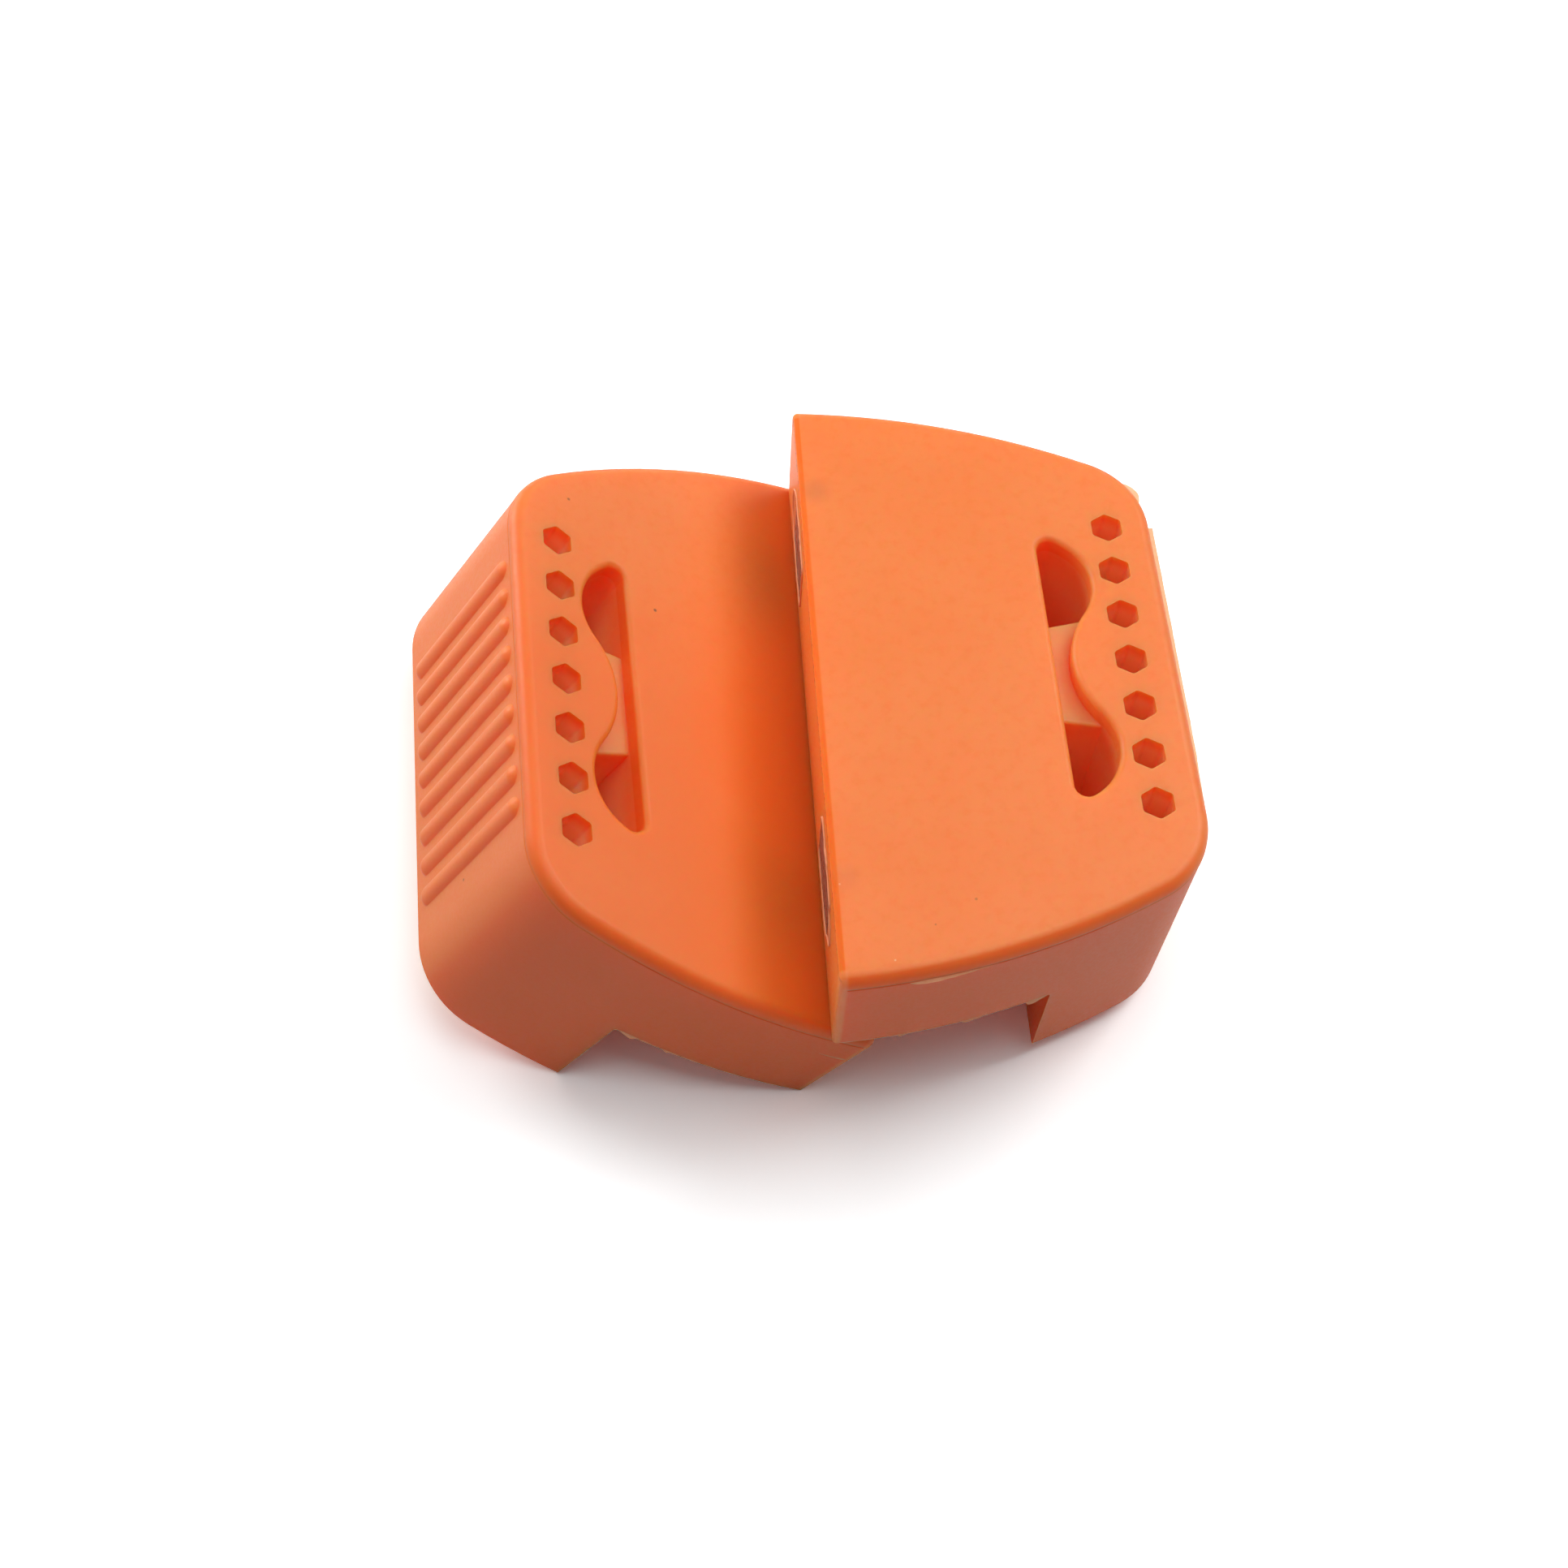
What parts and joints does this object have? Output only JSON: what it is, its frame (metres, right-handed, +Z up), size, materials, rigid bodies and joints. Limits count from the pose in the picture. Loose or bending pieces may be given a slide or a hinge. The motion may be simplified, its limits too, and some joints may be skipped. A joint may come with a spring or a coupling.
{
  "type": "magnetic clamp pad pair",
  "caption": "Pair of moulded clamp pads, each a bowed plate with a ribbed foot, a two-well slot, a row of hex sockets and magnets sealed in its straight mating face.",
  "frame": {"origin": "centre of the whole pair's bounding box in plan, on the bench the pads lie on", "axes": "+X from the lower pad's ribbed end towards the upper pad's, +Y along the lower pad's mating face, +Z up"},
  "size_m": [0.1288, 0.112, 0.0477],
  "materials": {
    "pad": "soft satin orange moulding",
    "magnet": "dull nickel-plated",
    "seal": "clear glue, slightly yellowed"
  },
  "bodies": {
    "lower_clamp_pad": {"lower_pad": "pad", "lower_magnet_a": "magnet", "lower_seal_a": "seal", "lower_magnet_b": "magnet", "lower_seal_b": "seal"},
    "upper_clamp_pad": {"upper_pad": "pad", "upper_magnet_a": "magnet", "upper_seal_a": "seal", "upper_magnet_b": "magnet", "upper_seal_b": "seal"}
  },
  "joints": [
    {"name": "upper_pad_lift", "type": "slide", "parent": "lower_clamp_pad", "child": "upper_clamp_pad", "axis": [0, 0, 1], "range_m": [0, 0.05]}
  ]
}
